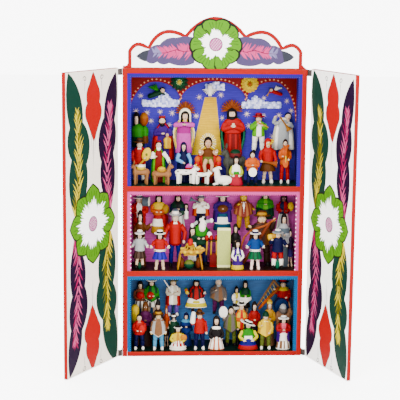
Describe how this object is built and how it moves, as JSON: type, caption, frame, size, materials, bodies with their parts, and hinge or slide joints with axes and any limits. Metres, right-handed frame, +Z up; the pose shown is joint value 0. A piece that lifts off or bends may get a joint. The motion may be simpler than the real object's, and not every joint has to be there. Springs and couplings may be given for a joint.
{
  "type": "folk retablo",
  "caption": "Open three-tiered painted wooden cabinet with a lobed crest, two painted doors on leather straps, and rows of small moulded figures inside.",
  "frame": {"origin": "centre of the cabinet's underside, on the surface that it stands on", "axes": "+Z up, the open front faces -Y, +X to the viewer's right"},
  "size_m": [0.469, 0.2289, 0.5873],
  "materials": {
    "red_painted_wood": "satin red paint on thin sawn boards",
    "painted_back_board": "thin board, painted inside and plain outside",
    "white_painted_crest": "white paint with a painted flower and a red edge",
    "cream_painted_door": "off-white paint with painted flowers and leaves, red along the edge",
    "hinge_leather": "dark, worn, undyed leather",
    "blue_border": "painted strip with a scalloped inner edge",
    "pink_border": "painted strip with a scalloped inner edge",
    "steel_blue_border": "painted strip with a scalloped inner edge",
    "dark_red_curtain": "moulded paste, dark red with rows of pale dots",
    "white_paste": "moulded paste, mostly white paint",
    "red_paste": "moulded paste, mostly red paint",
    "green_paste": "moulded paste, mostly green paint",
    "blue_paste": "moulded paste, mostly dark blue paint",
    "purple_paste": "moulded paste, mostly purple paint",
    "orange_paste": "moulded paste, mostly orange paint",
    "yellow_paste": "moulded paste, mostly ochre yellow paint",
    "brown_paste": "moulded paste, mostly brown paint",
    "grey_paste": "moulded paste, mostly grey paint",
    "black_paste": "moulded paste, mostly black paint"
  },
  "bodies": {
    "cabinet": {"side_left": "red_painted_wood", "side_right": "red_painted_wood", "bottom_board": "red_painted_wood", "lower_shelf": "red_painted_wood", "upper_shelf": "red_painted_wood", "top_board": "red_painted_wood", "back_board": "painted_back_board", "crest": "white_painted_crest", "hinge_strap_lower_left": "hinge_leather", "hinge_strap_lower_right": "hinge_leather", "hinge_strap_upper_left": "hinge_leather", "hinge_strap_upper_right": "hinge_leather", "upper_tier_border": "blue_border", "middle_tier_border": "pink_border", "lower_tier_border": "steel_blue_border", "curtain": "dark_red_curtain", "dove": "white_paste", "angel_left": "green_paste", "angel_right": "red_paste", "purple_king": "purple_paste", "mary": "white_paste", "joseph": "red_paste", "flute_player": "green_paste", "horn_player": "grey_paste", "mandolin_player": "red_paste", "green_king": "green_paste", "kneeling_woman": "blue_paste", "child_in_cradle": "orange_paste", "red_scarf_woman": "red_paste", "tuba_player": "orange_paste", "llama_left": "brown_paste", "llama_right": "brown_paste", "white_bull": "white_paste", "lying_lamb": "white_paste", "seated_woman": "green_paste", "orange_jacket_man": "orange_paste", "orange_cape_man": "orange_paste", "purple_cape_woman": "purple_paste", "golden_jacket_man": "yellow_paste", "green_shawl_woman": "green_paste", "brown_dress_woman": "brown_paste", "red_coat_man": "red_paste", "grey_jacket_woman": "grey_paste", "red_jacket_woman": "red_paste", "bread_stall": "yellow_paste", "market_woman": "purple_paste", "blue_jacket_woman": "blue_paste", "red_trousers_man": "blue_paste", "red_robe_man": "red_paste", "striped_poncho_woman": "red_paste", "grey_coat_man": "grey_paste", "brown_poncho_man": "brown_paste", "striped_skirt_woman": "yellow_paste", "red_shirt_man": "red_paste", "black_shawl_woman": "black_paste", "yellow_shawl_woman": "yellow_paste", "white_apron_woman": "white_paste"},
    "left_door": {"left_door": "cream_painted_door"},
    "right_door": {"right_door": "cream_painted_door"}
  },
  "joints": [
    {"name": "left_door_hinge", "type": "hinge", "parent": "cabinet", "child": "left_door", "pos_m": [-0.1598, -0.0393, 0.25], "axis": [0, 0, -1], "range_deg": [-121.7, 58.3]},
    {"name": "right_door_hinge", "type": "hinge", "parent": "cabinet", "child": "right_door", "pos_m": [0.1598, -0.0393, 0.25], "axis": [0, 0, 1], "range_deg": [-108.7, 71.3]}
  ]
}
